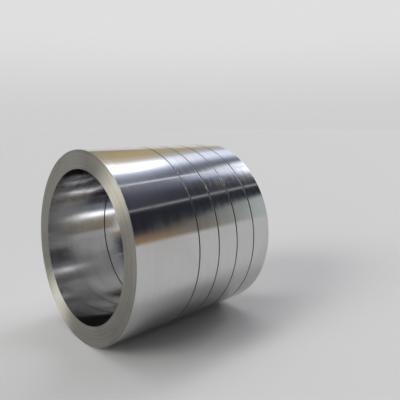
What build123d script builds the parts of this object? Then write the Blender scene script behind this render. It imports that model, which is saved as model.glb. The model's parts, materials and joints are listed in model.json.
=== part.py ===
from build123d import *
import os

# A slit steel coil: sheet that was cut lengthwise into five strips and wound up on one bore.
# The wide strip lies at the -X end and four narrow ones follow it. Each strip is a coil of its
# own. The strips were held a little apart as they ran, which left a thin gap between the coils.
# The set lies on its side on a level floor. X runs along the bore from the wide strip to the
# narrow ones, Z is up, and the origin is on the floor below the middle of the set.

# Driving dimensions, in millimetres
BORE_DIAMETER = 508.0
STRIP_THICKNESS = 0.8
LAPS = 81
WIDE_STRIP_WIDTH = 236.0
NARROW_STRIP_WIDTH = 82.0
NARROW_STRIP_COUNT = 4
SEPARATOR_GAP = 4.5

# A strip wanders sideways as it is wound, so on an end face some bands of laps stand back.
# The bands take one of a few depths each, in an order that puts unlike depths side by side.
LAPS_PER_BAND = 8
BAND_STEP = 0.3
BAND_DEPTHS = 5
BAND_STAGGER = 3

# Sizes that follow from the driving dimensions
BORE_RADIUS = BORE_DIAMETER / 2
BUILD_UP = LAPS * STRIP_THICKNESS
OUTER_RADIUS = BORE_RADIUS + BUILD_UP
BAND_COUNT = max(1, round(LAPS / LAPS_PER_BAND))
NARROW_PITCH = NARROW_STRIP_WIDTH + SEPARATOR_GAP
SET_WIDTH = WIDE_STRIP_WIDTH + NARROW_STRIP_COUNT * NARROW_PITCH

# The outermost lap touches the floor
AXIS_HEIGHT = OUTER_RADIUS
COIL_AXIS = Axis((0, 0, AXIS_HEIGHT), (1, 0, 0))


def wound_laps(start_x, width):
    """Draws the laps of one strip in section, above the bore's axis, from start_x along X."""
    with Locations((start_x + width / 2, AXIS_HEIGHT + BORE_RADIUS + BUILD_UP / 2)):
        Rectangle(width, BUILD_UP)


def bands_standing_back(face_x, inward):
    """Takes off an end face, in section, what each band of laps stands back from it."""
    for band in range(BAND_COUNT):
        depth = BAND_STEP * (band * BAND_STAGGER % BAND_DEPTHS)
        first_lap = band * LAPS_PER_BAND
        last_lap = LAPS if band == BAND_COUNT - 1 else first_lap + LAPS_PER_BAND
        height = (last_lap - first_lap) * STRIP_THICKNESS
        middle = BORE_RADIUS + (first_lap + last_lap) / 2 * STRIP_THICKNESS
        if depth > 0:
            with Locations((face_x + inward * depth / 2, AXIS_HEIGHT + middle)):
                Rectangle(depth, height, mode=Mode.SUBTRACT)


os.makedirs("parts", exist_ok=True)

# The wide strip, whose free face is the -X end of the set
with BuildPart() as wide_strip_coil:
    with BuildSketch(Plane.XZ):
        wound_laps(-SET_WIDTH / 2, WIDE_STRIP_WIDTH)
        bands_standing_back(-SET_WIDTH / 2, 1)
    revolve(axis=COIL_AXIS)
wide_strip_coil.part.label = "wide_strip_coil"
export_step(wide_strip_coil.part, "parts/wide_strip_coil.step")

# The narrow strips, each with a gap between it and the strip before it. The last one has the
# free face at the +X end of the set.
for number in range(1, NARROW_STRIP_COUNT + 1):
    with BuildPart() as narrow_strip_coil:
        with BuildSketch(Plane.XZ):
            end_x = -SET_WIDTH / 2 + WIDE_STRIP_WIDTH + number * NARROW_PITCH
            wound_laps(end_x - NARROW_STRIP_WIDTH, NARROW_STRIP_WIDTH)
            if number == NARROW_STRIP_COUNT:
                bands_standing_back(end_x, -1)
        revolve(axis=COIL_AXIS)
    narrow_strip_coil.part.label = f"narrow_strip_coil_{number}"
    export_step(narrow_strip_coil.part, f"parts/narrow_strip_coil_{number}.step")
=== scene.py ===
import json
import math
import bpy
import numpy as np
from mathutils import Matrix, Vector


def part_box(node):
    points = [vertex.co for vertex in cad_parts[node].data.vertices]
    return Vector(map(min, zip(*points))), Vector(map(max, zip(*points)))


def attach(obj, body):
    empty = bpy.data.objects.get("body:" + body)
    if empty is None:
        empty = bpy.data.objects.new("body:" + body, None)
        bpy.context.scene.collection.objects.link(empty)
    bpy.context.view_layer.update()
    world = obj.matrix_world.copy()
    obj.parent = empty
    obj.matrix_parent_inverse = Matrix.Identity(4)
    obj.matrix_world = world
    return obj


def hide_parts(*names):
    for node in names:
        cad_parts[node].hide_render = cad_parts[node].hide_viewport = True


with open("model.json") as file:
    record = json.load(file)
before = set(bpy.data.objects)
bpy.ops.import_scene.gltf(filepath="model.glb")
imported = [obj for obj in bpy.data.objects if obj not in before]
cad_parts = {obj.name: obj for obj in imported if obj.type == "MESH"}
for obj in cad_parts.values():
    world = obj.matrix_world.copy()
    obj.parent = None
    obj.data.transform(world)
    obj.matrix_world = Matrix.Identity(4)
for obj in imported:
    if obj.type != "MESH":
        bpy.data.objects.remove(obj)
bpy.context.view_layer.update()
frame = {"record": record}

# Wide strip
# The real piece is a 236 mm wide ribbon of 0.8 mm bright rolled steel, slit from a broader sheet and
# wound up tightly round a 508 mm bore. Its faces are near mirrors, and its slit edges, which stack up
# into the two ends of the coil, are satin. Nothing holds the laps together but their own tension.
wide_low, wide_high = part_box("wide_strip_coil")
axis_height = (wide_low.z + wide_high.z) / 2
outer_radius = (wide_high.z - wide_low.z) / 2
bore = next(mount for mount in frame["record"]["mounts"] if mount["name"] == "bore")
bore_radius = bore["dims"]["r_mm"] / 1000

# The strip's head lies in the bore behind the axis, and its tail is tucked under at the rear
stations_per_turn = 216
head_angle = math.radians(20)
whole_turns = 79
stations_to_tail = 168
turns = whole_turns + stations_to_tail / stations_per_turn
strip_thickness = (outer_radius - bore_radius) / (turns + 1)

# Across one slit edge: the seam to the lap below, the sharp side of the cut, the end of its flat,
# and the side that the knife rolled over. Each has a share of the thickness, a depth in metres, and
# how far it moves in or out as the cut leans over.
slit_edge = (
    (0.0, 0.00032, 0.0),
    (0.06, 0.00003, 0.00003),
    (0.70, 0.00003, -0.00003),
    (0.92, 0.00010, -0.00001),
)
plain_edge = ((0.0, 0.0, 0.0),)

# The corner that the knife rolled over shows on the outermost lap as a quarter circle, drawn at these
# angles, and the face is flat from three of its radii on. The corner in the bore is a small step back.
knife_roll_over = 0.0002
corner_arc = np.radians([30, 60, 90])
flat_from = 3
bore_corner = 0.00005

# The strip strays to either side by its reach, and its outer face lies in by up to its ripple
wide_reach = 0.0005
face_ripple_depth = 0.0001
wide_columns = 24

# What the straying is made of, in turns and in shares of the reach: slow swings with their periods,
# lanes of so many turns with a quick change between them, and a stagger a few times a turn
slow_swings = ((37.0, 0.30), (17.0, 0.16), (6.3, 0.07))
lane_count = 24
lane_turns = (4, 12)
lane_share = 0.26
half_lane_change = 0.15
stagger_turns = 0.37
stagger_share = 0.12


def sideways_wander(turn, reach, seed):
    """How far the strip has strayed sideways after so many turns: the sum of the slow swings, each a
    sine of the turns over its period, its lane and its stagger, cut off at reach to either side."""
    draw = np.random.default_rng(seed)
    swing = sum(
        size * np.sin(2 * np.pi * turn / period + draw.uniform(0, 2 * np.pi)) for period, size in slow_swings
    )
    lane_ends = np.cumsum(draw.uniform(*lane_turns, lane_count))
    lanes = np.repeat(draw.uniform(-lane_share, lane_share, lane_count + 1), 2)[1:-1]
    changes = np.stack([lane_ends - half_lane_change, lane_ends + half_lane_change], axis=1).ravel()
    lane = np.interp(turn, changes, lanes)
    knots = np.arange(0, turns + 2, stagger_turns)
    stagger = np.interp(turn, knots, draw.uniform(-stagger_share, stagger_share, knots.size))
    return reach * np.clip(swing + lane + stagger, -1, 1)


# The cut's lean changes after this many turns, at least and at most, and so many times in all
lean_turns = (0.3, 1.2)
lean_count = 2 * whole_turns + 4


def cut_lean(turn, seed):
    """How the slit edge leans after so many turns, from -1 to 1: straight runs between random leans,
    one every three quarters of a turn or so."""
    draw = np.random.default_rng(seed)
    knots = np.cumsum(draw.uniform(*lean_turns, lean_count))
    return np.interp(turn, knots, draw.uniform(-1, 1, knots.size))


# The face's low waves, as how many there are round the coil and across the strip. Short ones are lower.
face_waves = ((2, 0.35), (3, 0.7), (5, 0.25), (9, 1.05), (14, 0.55), (23, 1.6), (32, 2.3))
wave_falloff = 0.3


def face_ripple(around, across, depth, seed):
    """How far the outermost lap lies inside its true radius, from 0 to depth: a sum of low waves,
    each a sine along the strip times a sine across it, as in any sheet that was rolled and coiled."""
    draw = np.random.default_rng(seed)
    wave = 0.0
    for waves_around, waves_across in face_waves:
        phase, slant = draw.uniform(0, 2 * np.pi, 2)
        along = np.sin(2 * np.pi * waves_around * around + phase)
        wave = wave + along * np.sin(2 * np.pi * waves_across * across + slant) / waves_around**wave_falloff
    return depth * (0.5 + 0.5 * wave / np.abs(wave).max())


def metres_along(turn):
    """The strip's length from its head after so many turns: the sum of its laps' lengths."""
    return 2 * np.pi * (bore_radius * turn + strip_thickness * turn**2 / 2)


def corners(grid):
    """The four corners of each cell of a grid, in order round the cell."""
    return np.stack([grid[:-1, :-1], grid[:-1, 1:], grid[1:, 1:], grid[1:, :-1]], axis=-1).reshape(-1, 4)


# The finishes in their order on every strip, the angle from which a fold between faces is sharp, the
# band of the bake map that the small caps take, and what a turn may be off by rounding
face, edge, gap_edge = 0, 1, 2
sharp_from = math.radians(32)
cap_band_start, cap_band_width = 0.998, 0.001
rounding = 1e-9


def strip_skin(name, points, sheets, caps, width):
    """A closed skin from grids of points, with its finishes and its maps.

    A sheet is a grid of point numbers with its finish, its turns and metres across, its share of a
    band of the bake map, that band's two sides, and whether its faces are turned round. A cap is one
    flat face across a slit edge: its points, their shares of the thickness, and whether it is turned.
    The map OFBake has room for every face, and the map strip gives the metres along the strip and
    across it, with the metres from the nearer edge as an attribute."""
    quads, polygons, finish, bake_map, strip_map, from_edge = [], [], [], [], [], []
    for grid, kind, turn, across, filled, band_low, band_high, turned in sheets:
        order = slice(None, None, -1) if turned else slice(None)
        turn, across, filled = (corners(np.broadcast_to(v, grid.shape)) for v in (turn, across, filled))
        around = turn - np.floor(turn.min(axis=1, keepdims=True) + rounding)
        # A step at a cut end has no way round the coil, so it fills its band by its way across
        if len(grid) == 2:
            around = across / width
        quads.append(corners(grid)[:, order])
        finish.append(np.full(len(turn), kind))
        bake = np.stack([around, band_low + (band_high - band_low) * filled], axis=-1)
        bake_map.append(bake[:, order].reshape(-1, 2))
        strip_map.append(np.stack([metres_along(turn), across], axis=-1)[:, order].reshape(-1, 2))
        from_edge.append(np.minimum(across, width - across)[:, order].ravel())
    for row, shares, turned in caps:
        order = slice(None, None, -1) if turned else slice(None)
        polygons.append(row[order].tolist())
        finish.append([edge])
        bake_map.append(np.stack([0 * shares, cap_band_start + cap_band_width * shares], axis=-1)[order])
        strip_map.append(np.stack([0 * shares, strip_thickness * shares], axis=-1)[order])
        from_edge.append(0 * shares)
    mesh = bpy.data.meshes.new(name)
    mesh.from_pydata(np.concatenate(points).tolist(), [], np.concatenate(quads).tolist() + polygons)
    mesh.polygons.foreach_set("material_index", np.concatenate(finish).astype(np.int32))
    for layer, places in (("OFBake", bake_map), ("strip", strip_map)):
        places = np.concatenate(places).astype(np.float32).ravel()
        mesh.uv_layers.new(name=layer).data.foreach_set("uv", places)
    distances = np.concatenate(from_edge).astype(np.float32)
    mesh.attributes.new("from_edge", "FLOAT", "CORNER").data.foreach_set("value", distances)
    mesh.uv_layers.active = mesh.uv_layers["OFBake"]
    mesh.shade_smooth()
    mesh.set_sharp_from_angle(angle=sharp_from)
    piece = bpy.data.objects.new(name, mesh)
    bpy.context.scene.collection.objects.link(piece)
    return piece


def wound_strip(name, x_low, x_high, low_edge, high_edge, reach, columns, ripple, seed):
    """One strip wound into a coil, as a closed skin.

    After s turns the strip lies from radius bore + t s to bore + t (s + 1), at the angle
    head + 2 pi s, so the outside of one lap is the inside of the next one. Each end of the coil is a
    ribbon along that spiral with one slit edge as its cross-section. The outside is the last turn and
    the bore the first, and at the strip's two cut ends a step of one thickness closes the skin.
    The strip spans x_low to x_high, strays by its reach, and has so many columns of faces across."""
    n = stations_per_turn
    last = round(turns * n)
    seam_turn = np.arange(last + n + 1) / n
    lap_turn = seam_turn[: last + 1]
    ripple_seed, lean_seed = seed + 1, seed + 100
    stray = sideways_wander(seam_turn, reach, seed)
    lean = cut_lean(lap_turn, lean_seed)
    rolled_over = np.where(seam_turn >= turns, knife_roll_over, 0.0)
    width = x_high - x_low
    points = []

    def add(x, radius, turn):
        """Adds points at x along the axis, radius from it and turn turns on from the head."""
        angle = head_angle + 2 * np.pi * turn
        y, z = radius * np.cos(angle), axis_height + radius * np.sin(angle)
        grid = np.stack(np.broadcast_arrays(x, y, z), axis=-1)
        first = sum(len(p) for p in points)
        points.append(grid.reshape(-1, 3))
        return first + np.arange(grid[..., 0].size).reshape(grid.shape[:-1])

    def end_of_coil(face_x, inward, profile):
        """The seams' points and places, and the ribbon from each seam over the slit edge to the next."""
        back = np.full(seam_turn.size, profile[0][1])
        back[:n] = bore_corner
        back[last:] = profile[-1][1]
        seam_x = face_x + stray + inward * back
        seam = add(seam_x, bore_radius + strip_thickness * seam_turn - rolled_over, seam_turn)
        ribbon = [seam[: last + 1]]
        for share, depth, swing in profile[1:]:
            radius = bore_radius + strip_thickness * (lap_turn + share) - rolled_over[n:] * share**2
            ribbon.append(add(face_x + stray[: last + 1] + inward * (depth + swing * lean), radius, lap_turn))
        shares = np.array([share for share, depth, swing in profile] + [1.0])
        return seam, seam_x, np.stack(ribbon + [seam[n:]], axis=1), shares

    low_seam, low_seam_x, low_end, low_shares = end_of_coil(x_low, 1, low_edge)
    high_seam, high_seam_x, high_end, high_shares = end_of_coil(x_high, -1, high_edge)

    def side_of_strip(start, depth, corner):
        """The points across the strip's width over one turn, from one end's seam to the other's, with
        an arc of a quarter circle at either corner, and a column close by that keeps the rest flat."""
        rows = slice(start, start + n + 1)
        corner_columns = corner_arc.size + 1 if corner else 0
        rise = corner * np.append(1 - np.sin(corner_arc), 0)[:corner_columns]
        inset = corner * np.append(1 - np.cos(corner_arc), flat_from)[:corner_columns]
        middle = np.linspace(0, 1, columns + 1)[1:-1]
        share = np.concatenate([0 * inset, middle, 0 * inset + 1])[None, :]
        shift = np.concatenate([inset, 0 * middle, -inset[::-1]])[None, :]
        dip = np.concatenate([rise, 0 * middle, rise[::-1]])[None, :]
        low_x, high_x, turn = (v[rows][:, None] for v in (low_seam_x, high_seam_x, seam_turn))
        x = low_x + (high_x - low_x) * share + shift
        dip = dip + face_ripple(turn - turn[0], share, depth, ripple_seed)
        inner = add(x, bore_radius + strip_thickness * turn - dip, turn)
        across = np.concatenate([[0.0], (width * share + shift)[0], [width]])
        return np.concatenate([low_seam[rows][:, None], inner, high_seam[rows][:, None]], axis=1), across

    # The two sides, the two ends and the two steps, each with its finish and its band of the bake map
    outside, outside_across = side_of_strip(last, ripple, knife_roll_over)
    inside, inside_across = side_of_strip(0, 0.0, 0.0)
    lap = lap_turn[:, None]
    low_kind, high_kind = (edge if len(e) > 1 else gap_edge for e in (low_edge, high_edge))
    low_across, high_across = strip_thickness * low_shares, strip_thickness * high_shares
    low_filled, high_filled = (lap + low_shares) / (turns + 1), (lap + high_shares) / (turns + 1)
    step = np.array([[0.0], [1.0]])
    sheets = (
        (outside, face, seam_turn[last:, None], outside_across, outside_across / width, 0.00, 0.36, True),
        (inside, face, seam_turn[: n + 1, None], inside_across, inside_across / width, 0.37, 0.66, False),
        (low_end, low_kind, lap, low_across, low_filled, 0.67, 0.82, True),
        (high_end, high_kind, lap, high_across, high_filled, 0.83, 0.98, False),
        (outside[[0, -1]], edge, turns, outside_across, step, 0.985, 0.990, False),
        (inside[[0, -1]], edge, 0.0, inside_across, step, 0.992, 0.997, True),
    )

    # Where a ribbon starts and stops, a cap closes the skin across the slit edge
    caps = [
        (end[row], shares, turned)
        for end, shares, row, turned in (
            (low_end, low_shares, -1, True),
            (high_end, high_shares, -1, False),
            (low_end, low_shares, 0, False),
            (high_end, high_shares, 0, True),
        )
        if len(shares) > 2
    ]
    return strip_skin(name, points, sheets, caps, width)


def add_node(tree, kind, inputs=(), **settings):
    """Adds a node of that kind, with its settings, and feeds its inputs with values or sockets."""
    node = tree.nodes.new("ShaderNode" + kind)
    for name, value in settings.items():
        setattr(node, name, value)
    for socket, value in dict(inputs).items():
        if isinstance(value, bpy.types.NodeSocket):
            tree.links.new(value, node.inputs[socket])
        else:
            node.inputs[socket].default_value = value
    return node


def reckon(tree, operation, *values):
    """One step of arithmetic on numbers or sockets."""
    return add_node(tree, "Math", enumerate(values), operation=operation).outputs[0]


def fade(tree, value, start, stop, low=0.0, high=1.0):
    """Goes smoothly from low, where the value is at start, to high, where it is at stop."""
    if not isinstance(start, bpy.types.NodeSocket) and start > stop:
        start, stop, low, high = stop, start, high, low
    inputs = {"Value": value, "From Min": start, "From Max": stop, "To Min": low, "To Max": high}
    return add_node(tree, "MapRange", inputs, interpolation_type="SMOOTHSTEP").outputs["Result"]


def blend(tree, share, first, second):
    """The second colour over the first one, by share."""
    first, second = ((*c, 1) if isinstance(c, tuple) else c for c in (first, second))
    return add_node(tree, "Mix", {0: share, 6: first, 7: second}, data_type="RGBA").outputs[2]


def weigh(tree, base, *parts):
    """The base value and each part's share of it, added up."""
    for value, share in parts:
        part = reckon(tree, "MULTIPLY", value, share)
        base = part if base == 0.0 else reckon(tree, "ADD", base, part)
    return base


def new_group(name, takes, gives):
    """A shader node group with those inputs and outputs, and its two end nodes."""
    group = bpy.data.node_groups.new(name, "ShaderNodeTree")
    for socket, kind in takes.items():
        group.interface.new_socket(name=socket, in_out="INPUT", socket_type=kind)
    for socket, kind in gives.items():
        group.interface.new_socket(name=socket, in_out="OUTPUT", socket_type=kind)
    return group, group.nodes.new("NodeGroupInput").outputs, group.nodes.new("NodeGroupOutput").inputs


# Streaks that run along the strip: noise that is stretched to a streak's length and width in metres
streaks, taken, given = new_group(
    "strip_streaks",
    {"Strip Place": "NodeSocketVector", "Length": "NodeSocketFloat", "Width": "NodeSocketFloat"},
    {"Streaks": "NodeSocketFloat"},
)
place = add_node(streaks, "SeparateXYZ", {0: taken["Strip Place"]}).outputs
stretched = add_node(streaks, "CombineXYZ", {
    0: reckon(streaks, "DIVIDE", place["X"], taken["Length"]),
    1: reckon(streaks, "DIVIDE", place["Y"], taken["Width"]),
}).outputs[0]
noise = add_node(streaks, "TexNoise", {"Vector": stretched, "Scale": 1.0, "Detail": 3.0, "Roughness": 0.6})
streaks.links.new(fade(streaks, noise.outputs["Fac"], 0.30, 0.70), given["Streaks"])

# A thin film of rolling oil with wiped patches: cloudy noise that other noise pulls about by so much
oil_pull = (0.12, 0.12, 0.12)
oil_film, taken, given = new_group(
    "oil_film",
    {"Place": "NodeSocketVector", "Patch Size": "NodeSocketFloat"},
    {"Film": "NodeSocketFloat"},
)
per_metre = reckon(oil_film, "DIVIDE", 1.0, taken["Patch Size"])
pull = add_node(oil_film, "TexNoise", {"Vector": taken["Place"], "Scale": per_metre, "Detail": 2.0})
moved = add_node(oil_film, "VectorMath", {0: pull.outputs["Color"], 1: oil_pull}, operation="MULTIPLY")
spot = add_node(oil_film, "VectorMath", {0: taken["Place"], 1: moved.outputs[0]}, operation="ADD").outputs[0]
cloud = add_node(oil_film, "TexNoise", {"Vector": spot, "Scale": per_metre, "Detail": 5.0, "Roughness": 0.62})
oil_film.links.new(fade(oil_film, cloud.outputs["Fac"], 0.46, 0.70), given["Film"])


def new_steel(name):
    """A new material and its node tree, with the place on the strip and in the frame, in metres."""
    material = bpy.data.materials.new(name)
    material.use_nodes = True
    tree = material.node_tree
    strip_place = add_node(tree, "UVMap", uv_map="strip").outputs["UV"]
    frame_place = add_node(tree, "TexCoord").outputs["Object"]
    return material, tree, strip_place, frame_place


def streaked(tree, strip_place, length, width):
    """Streaks of that length and width in metres, from 0 to 1."""
    inputs = {"Strip Place": strip_place, "Length": length, "Width": width}
    return add_node(tree, "Group", inputs, node_tree=streaks).outputs[0]


def oiled(tree, frame_place, patch_size):
    """The oil film in patches of that size in metres, from 0 to 1."""
    inputs = {"Place": frame_place, "Patch Size": patch_size}
    return add_node(tree, "Group", inputs, node_tree=oil_film).outputs[0]


def finish_steel(tree, colour, roughness, relief, depth, spread):
    """Feeds a material's shader as bare steel with a fine relief of that depth in metres, and a grain
    along the strip that spreads light across it."""
    shader = tree.nodes["Principled BSDF"]
    bump = add_node(tree, "Bump", {"Height": relief, "Distance": depth})
    tangent = add_node(tree, "Tangent", direction_type="UV_MAP", uv_map="strip")
    tree.links.new(colour, shader.inputs["Base Color"])
    tree.links.new(roughness, shader.inputs["Roughness"])
    tree.links.new(bump.outputs["Normal"], shader.inputs["Normal"])
    tree.links.new(tangent.outputs["Tangent"], shader.inputs["Tangent"])
    shader.inputs["Metallic"].default_value = 1
    shader.inputs["Anisotropic"].default_value = spread
    shader.inputs["Anisotropic Rotation"].default_value = 0.25


# The rolled face: bright, with the mill's fine grain, a few broader bands and a rub beside each edge
dull_face, bright_face, oily_face = (0.60, 0.60, 0.605), (0.65, 0.65, 0.655), (0.56, 0.545, 0.51)
rub_gone, rub_full = 0.0014, 0.0003
strip_face, tree, strip_place, frame_place = new_steel("rolled_strip_face")
grain = streaked(tree, strip_place, 0.25, 0.0007)
bands = streaked(tree, strip_place, 6.0, 0.016)
film = oiled(tree, frame_place, 0.22)
from_edge = add_node(tree, "Attribute", attribute_name="from_edge").outputs["Fac"]
rub = fade(tree, from_edge, rub_gone, rub_full)
rolled = blend(tree, weigh(tree, 0.0, (grain, 0.5), (bands, 0.5)), dull_face, bright_face)
filmed = blend(tree, weigh(tree, 0.0, (film, 0.5)), rolled, oily_face)
roughness = weigh(tree, 0.08, (grain, 0.04), (bands, 0.03), (film, 0.07), (rub, 0.12))
finish_steel(tree, filmed, roughness, grain, 0.000002, 0.6)

# The slit edges: the knife burnished a third of each one and tore the rest. Every lap differs, and the
# tone drifts over batches of a dozen laps as the knife wears and the oil runs dry.
dark_cut, pale_cut = (0.28, 0.272, 0.241), (0.57, 0.556, 0.508)
torn_cut, oily_cut = (0.36, 0.35, 0.31), (0.34, 0.33, 0.265)
burnished_to, torn_from = 0.30 * strip_thickness, 0.45 * strip_thickness
slit_edges, tree, strip_place, frame_place = new_steel("slit_edges")
lay = streaked(tree, strip_place, 1.1, 0.1)
batches = streaked(tree, strip_place, 13.0, 1.0)
nicks = streaked(tree, strip_place, 0.02, 0.0003)
film = oiled(tree, frame_place, 0.15)
torn = fade(tree, add_node(tree, "SeparateXYZ", {0: strip_place}).outputs["Y"], burnished_to, torn_from)
cut = blend(tree, weigh(tree, 0.0, (lay, 0.6), (batches, 0.4)), dark_cut, pale_cut)
cut = blend(tree, weigh(tree, 0.0, (torn, 0.4)), cut, torn_cut)
filmed = blend(tree, weigh(tree, 0.0, (film, 0.5)), cut, oily_cut)
roughness = weigh(tree, 0.50, (torn, 0.08), (lay, -0.06), (batches, -0.05), (nicks, 0.06), (film, 0.05))
finish_steel(tree, filmed, roughness, nicks, 0.00001, 0.95)

# The slit edges in the gaps: their colour is painted shade, much darker than the slit edges outside, with
# streaks along the strip and cloudy patches darker still
dark_gap_shade, pale_gap_shade, darkest_gap_shade = (0.12, 0.117, 0.107), (0.26, 0.255, 0.235), (0.10, 0.095, 0.075)
shaded_gap_edges, tree, strip_place, frame_place = new_steel("gap_slit_edges_painted_shade")
gap_streaks = streaked(tree, strip_place, 0.4, 0.004)
film = oiled(tree, frame_place, 0.15)
# Painted shade in the gaps: dark to pale along the streaks, and darker still in the cloudy patches
gap_shade = blend(tree, gap_streaks, dark_gap_shade, pale_gap_shade)
filmed = blend(tree, weigh(tree, 0.0, (film, 0.6)), gap_shade, darkest_gap_shade)
roughness = weigh(tree, 0.42, (gap_streaks, 0.08), (film, -0.10))
finish_steel(tree, filmed, roughness, gap_streaks, 0.00001, 0.6)

wide_strip = wound_strip(
    "wide_strip_winding", wide_low.x + wide_reach, wide_high.x, slit_edge, plain_edge,
    wide_reach, wide_columns, face_ripple_depth, seed=3
)
for finish in (strip_face, slit_edges, shaded_gap_edges):
    wide_strip.data.materials.append(finish)
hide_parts("wide_strip_coil")
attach(wide_strip, "root")

# Narrow strips
# Four ribbons of 82 mm from the same sheet, wound up beside the wide one at the same time. They were
# held 4.5 mm apart as they ran. The last one's outer side is the coil's other end.
narrow_count = 4
narrow_reach = 0.00025
narrow_columns = 10
for number in range(1, narrow_count + 1):
    node = f"narrow_strip_coil_{number}"
    low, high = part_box(node)
    free_end = number == narrow_count
    far_edge = slit_edge if free_end else plain_edge
    narrow_strip = wound_strip(
        f"narrow_strip_winding_{number}", low.x, high.x - narrow_reach * free_end, plain_edge, far_edge,
        narrow_reach, narrow_columns, face_ripple_depth, seed=10 + number
    )
    for finish in (strip_face, slit_edges, shaded_gap_edges):
        narrow_strip.data.materials.append(finish)
    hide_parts(node)
    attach(narrow_strip, "root")

# Studio floor
# A pale plain floor that reaches past the horizon on every side. It isn't part of the coil.
floor_radius = 60.0
rim_points = 96
ring = np.linspace(0, 2 * np.pi, rim_points, endpoint=False)
rim = np.stack([floor_radius * np.cos(ring), floor_radius * np.sin(ring), 0 * ring], axis=1)
floor_mesh = bpy.data.meshes.new("studio_floor")
floor_mesh.from_pydata(rim.tolist(), [], [list(range(rim_points))])
studio_floor = bpy.data.objects.new("studio_floor", floor_mesh)
bpy.context.scene.collection.objects.link(studio_floor)
floor_paint = bpy.data.materials.new("pale_floor")
floor_paint.use_nodes = True
shader = floor_paint.node_tree.nodes["Principled BSDF"]
shader.inputs["Base Color"].default_value = (0.61, 0.61, 0.607, 1)
shader.inputs["Roughness"].default_value = 0.9
studio_floor.data.materials.append(floor_paint)

# Studio light
# A long soft box hangs over the coil, a little askew, and a dimmer one beside its narrow end. Two bare
# tubes run in front of them, and a round box lights either end. All of it is far away, so it is a colour
# for each direction, which mostly follows the angle round the coil's axis from the front horizon over the
# top to the rear one. The light is neutral, but for mild tints towards the narrow end.
world = bpy.data.worlds.new("studio")
world.use_nodes = True
bpy.context.scene.world = world
sky = world.node_tree
direction = add_node(sky, "TexCoord").outputs["Generated"]
toward = add_node(sky, "SeparateXYZ", {0: direction}).outputs
tube_half_width = 0.012


def box_row(angle, stops):
    """A colour for each angle round the axis, in degrees, with smooth changes between the stops. A new
    ramp has two stops of its own, which are used first."""
    row = add_node(sky, "ValToRGB", {0: reckon(sky, "DIVIDE", angle, math.pi)})
    row.color_ramp.interpolation = "EASE"
    elements = row.color_ramp.elements
    for place, (degrees, colour) in enumerate(stops):
        element = elements[place] if place < 2 else elements.new(degrees / 180)
        element.position = degrees / 180
        element.color = (*colour, 1)
    return row.outputs[0]


def off(axis):
    """How far the direction is from square to an axis: the cosine of the angle between them."""
    return add_node(sky, "VectorMath", {0: direction, 1: axis}, operation="DOT_PRODUCT").outputs["Value"]


def tube(axis):
    """1 in a thin band of directions square to an axis, and 0 off it, with soft sides."""
    return fade(sky, reckon(sky, "ABSOLUTE", off(axis)), tube_half_width * 1.6, tube_half_width * 0.6)


def round_box(axis, inner, outer):
    """1 within so many degrees of an axis, and 0 beyond so many."""
    return fade(sky, off(axis), math.cos(math.radians(outer)), math.cos(math.radians(inner)))


# The angle round the axis, and the same for the boxes that hang askew: past the top they lie further
# forward towards the wide end and further back towards the narrow one
round_axis = reckon(sky, "ARCTAN2", toward["Z"], reckon(sky, "MULTIPLY", toward["Y"], -1.0))
overhead = fade(sky, round_axis, math.radians(75), math.radians(105))
askew = reckon(sky, "MULTIPLY", overhead, fade(sky, toward["X"], 0.52, 0.76, -0.104, 0.312))
leaning = reckon(sky, "SUBTRACT", round_axis, askew)

# The rows of light along the coil, and the low part in front that three of them share
front_low = [
    (0, (0.36, 0.22, 0.11)), (6, (0.36, 0.21, 0.10)), (10, (0.31, 0.20, 0.11)), (13, (0.21, 0.15, 0.105)),
    (18, (0.05, 0.046, 0.05)), (23, (0.022, 0.023, 0.032)), (40, (0.022, 0.023, 0.034)),
]
plain_row = box_row(leaning, [
    (0, (0.28, 0.27, 0.26)), (10, (0.24, 0.235, 0.23)), (18, (0.05, 0.05, 0.052)),
    (40, (0.028, 0.028, 0.032)), (58, (0.08, 0.082, 0.09)), (74, (0.21, 0.21, 0.23)),
    (90, (0.38, 0.39, 0.42)), (99, (0.80, 0.82, 0.88)), (106, (3.4, 3.4, 3.5)), (114, (3.4, 3.4, 3.5)),
    (119, (1.3, 1.3, 1.3)), (127, (0.50, 0.50, 0.50)), (140, (0.32, 0.32, 0.32)), (180, (0.22, 0.22, 0.22)),
])
near_row = box_row(leaning, front_low + [
    (54, (0.065, 0.07, 0.092)), (60, (0.082, 0.088, 0.115)), (65, (0.107, 0.112, 0.145)),
    (70, (0.17, 0.175, 0.215)), (77, (0.25, 0.255, 0.31)), (86, (0.28, 0.30, 0.38)),
    (90, (0.37, 0.40, 0.50)), (94, (0.50, 0.54, 0.68)), (98, (0.72, 0.78, 0.95)), (102, (1.4, 1.42, 1.5)),
    (106, (3.4, 3.45, 3.6)), (114, (3.4, 3.45, 3.6)), (119, (1.3, 1.3, 1.3)), (126, (0.70, 0.62, 0.50)),
    (138, (0.58, 0.46, 0.26)), (180, (0.24, 0.20, 0.13)),
])
dim_row = box_row(leaning, front_low + [
    (54, (0.048, 0.052, 0.07)), (60, (0.052, 0.056, 0.075)), (64, (0.068, 0.072, 0.095)),
    (67, (0.11, 0.115, 0.15)), (71, (0.16, 0.165, 0.21)), (78, (0.20, 0.205, 0.25)),
    (84, (0.155, 0.165, 0.205)), (89, (0.19, 0.20, 0.25)), (93, (0.30, 0.33, 0.42)),
    (97, (0.55, 0.60, 0.76)), (101, (0.85, 0.92, 1.12)), (106, (1.05, 1.12, 1.32)),
    (116, (1.0, 1.06, 1.22)), (123, (0.60, 0.60, 0.62)), (134, (0.52, 0.44, 0.30)),
    (180, (0.26, 0.24, 0.20)),
])
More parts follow.
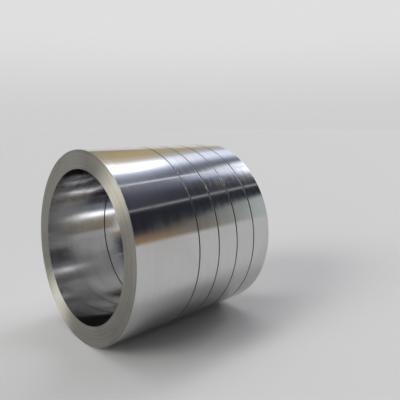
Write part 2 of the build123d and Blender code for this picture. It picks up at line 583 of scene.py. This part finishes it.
far_row = box_row(round_axis, front_low + [
    (60, (0.028, 0.03, 0.042)), (68, (0.045, 0.048, 0.065)), (72, (0.07, 0.075, 0.11)),
    (75, (0.18, 0.20, 0.28)), (78, (0.42, 0.47, 0.62)), (82, (0.72, 0.80, 1.0)), (88, (0.95, 1.03, 1.22)),
    (98, (1.05, 1.15, 1.35)), (112, (0.95, 1.0, 1.15)), (124, (0.50, 0.52, 0.58)),
    (140, (0.38, 0.35, 0.30)), (180, (0.28, 0.28, 0.28)),
])

# Each row gives way to the next one towards the narrow end. The last does so along a slanted line.
slant_from, slant_least, slant = math.radians(105), math.radians(-25), 0.25
past_top = reckon(sky, "MAXIMUM", reckon(sky, "SUBTRACT", round_axis, slant_from), slant_least)
along_box = reckon(sky, "SUBTRACT", toward["X"], reckon(sky, "MULTIPLY", past_top, slant))
colour = blend(sky, fade(sky, toward["X"], 0.40, 0.52), plain_row, near_row)
colour = blend(sky, fade(sky, toward["X"], 0.57, 0.63), colour, dim_row)
colour = blend(sky, fade(sky, along_box, 0.735, 0.785), colour, far_row)

# A low grey panel in front of the narrow end, whose upper side climbs outwards
panel_foot, panel_low_side, panel_climb = 0.63, math.radians(19), 2.37
panel_top = weigh(sky, panel_low_side, (reckon(sky, "SUBTRACT", toward["X"], panel_foot), panel_climb))
panel = fade(sky, reckon(sky, "SUBTRACT", panel_top, round_axis), -0.05, 0.05)
panel = reckon(sky, "MULTIPLY", panel, fade(sky, toward["X"], 0.60, 0.66))
panel_grey = blend(sky, fade(sky, toward["X"], 0.68, 0.78), (0.20, 0.19, 0.165), (0.58, 0.64, 0.64))
colour = blend(sky, panel, colour, panel_grey)

# The round boxes off the wide and the narrow end, and the two tubes
for lamp, glow in (
    (round_box((-0.879, 0.08, 0.470), 10, 19), (9.5, 9.35, 9.0)),
    (round_box((0.90, 0.0, 0.436), 9, 17), (5.5, 5.5, 5.6)),
    (tube((-0.355, 0.846, 0.399)), (1.0, 1.02, 1.08)),
    (tube((-0.326, 0.495, 0.805)), (0.42, 0.42, 0.44)),
):
    colour = blend(sky, lamp, colour, glow)

# The pale backdrop stands all round above the floor, and lower in front
in_front = fade(sky, toward["Y"], -0.35, -0.62)
pale_top = fade(sky, in_front, 0.0, 1.0, 0.29, 0.03)
pale_end = reckon(sky, "ADD", pale_top, fade(sky, in_front, 0.0, 1.0, 0.09, 0.07))
pale = blend(sky, fade(sky, toward["Z"], 0.0, 0.22), (0.625, 0.625, 0.628), (0.74, 0.74, 0.74))
colour = blend(sky, fade(sky, toward["Z"], pale_top, pale_end, 1.0, 0.0), colour, pale)
sky.links.new(colour, sky.nodes["Background"].inputs["Color"])

# Camera
# Its place, direction and lens were found by matching the coil's rims, gaps and far edge to their
# places in the photograph. The shift only sets the coil's height in the picture.
camera_data = bpy.data.cameras.new("camera")
camera_data.lens = 39.13
camera_data.sensor_width = 36.0
camera_data.shift_y = -0.15
camera = bpy.data.objects.new("camera", camera_data)
camera.location = (-0.9697, -1.3018, 0.7185)
camera.rotation_mode = "QUATERNION"
camera.rotation_quaternion = Vector((0.6816, 0.7309, -0.0358)).to_track_quat("-Z", "Y")
bpy.context.scene.collection.objects.link(camera)
bpy.context.scene.camera = camera

bpy.context.scene.view_settings.view_transform = "Standard"
